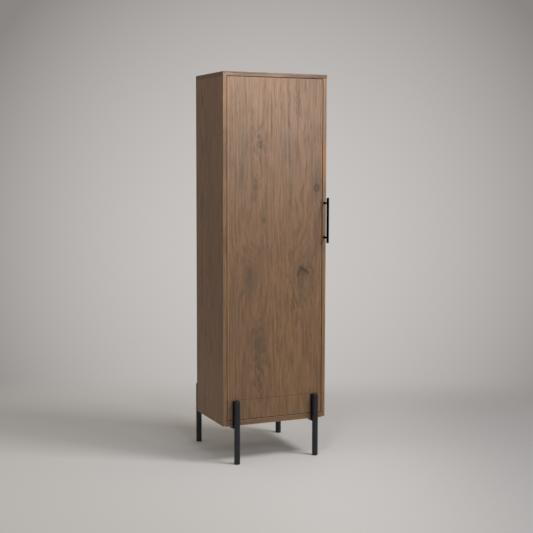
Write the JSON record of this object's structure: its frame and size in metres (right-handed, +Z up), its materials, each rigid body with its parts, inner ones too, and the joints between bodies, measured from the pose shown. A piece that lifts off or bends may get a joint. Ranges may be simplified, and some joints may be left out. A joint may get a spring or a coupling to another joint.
{
  "type": "tall storage cabinet",
  "caption": "Tall narrow oak cabinet with a hinged door, bar handle and inner shelves, on round steel legs that rise before and behind the body.",
  "frame": {"origin": "on the floor, under the middle of the whole object's bounding box", "axes": "+Z up, front towards -Y, +X to the right as seen from the front"},
  "size_m": [0.516, 0.4864, 1.776],
  "materials": {
    "stained_oak": "brown stained oak, matt lacquer",
    "inner_oak": "stained oak veneer",
    "back_board": "thin veneered board",
    "beech_dowel": "plain beech",
    "soft_bumper": "soft polyurethane",
    "black_plastic": "moulded black plastic",
    "black_steel": "matt black powder coat",
    "magnet": "dark ferrite",
    "hinge_brass": "satin brass",
    "zinc_steel": "bright zinc"
  },
  "bodies": {
    "carcass": {"left_side_panel": "stained_oak", "right_side_panel": "stained_oak", "right_corner_block": "stained_oak", "top_board": "stained_oak", "base_board": "stained_oak", "deck_board": "inner_oak", "apron_panel": "stained_oak", "left_apron_cleat": "inner_oak", "right_apron_cleat": "inner_oak", "rear_stretcher": "inner_oak", "back_panel": "back_board", "shelf_pins": "zinc_steel", "panel_dowels": "beech_dowel", "cam_bolts": "zinc_steel", "cam_discs": "zinc_steel", "apron_screws": "zinc_steel", "fixed_leaf_screws": "zinc_steel", "hinge_washers": "hinge_brass", "catch_housing": "black_plastic", "catch_magnet": "magnet", "catch_screws": "zinc_steel", "wall_bracket": "zinc_steel", "bracket_screws": "zinc_steel", "foot_glides": "black_plastic", "leg_gussets": "black_steel", "rear_spacers": "black_steel", "leg_bolts": "zinc_steel", "spacer_bolts": "zinc_steel", "rail_screws": "zinc_steel", "shelf_1": "inner_oak", "shelf_2": "inner_oak", "shelf_3": "inner_oak", "shelf_4": "inner_oak", "upper_hinge_fixed_leaf": "hinge_brass", "upper_hinge_pin": "hinge_brass", "lower_hinge_fixed_leaf": "hinge_brass", "lower_hinge_pin": "hinge_brass", "front_left_leg": "black_steel", "front_left_leg_bar": "black_steel", "front_right_leg": "black_steel", "front_right_leg_bar": "black_steel", "rear_left_leg": "black_steel", "rear_right_leg": "black_steel", "left_leg_rail": "black_steel", "right_leg_rail": "black_steel"},
    "door": {"door_panel": "stained_oak", "door_stile": "stained_oak", "handle_bar": "black_steel", "upper_handle_post": "black_steel", "lower_handle_post": "black_steel", "handle_screws": "zinc_steel", "door_bumpers": "soft_bumper", "catch_strike": "zinc_steel", "strike_screw": "zinc_steel", "upper_hinge_door_leaf": "hinge_brass", "lower_hinge_door_leaf": "hinge_brass", "door_leaf_screws": "zinc_steel"}
  },
  "joints": [
    {"name": "door_hinge", "type": "hinge", "parent": "carcass", "child": "door", "pos_m": [-0.217, -0.19425, 1.024], "axis": [0, 0, -1], "range_deg": [0, 130]}
  ]
}
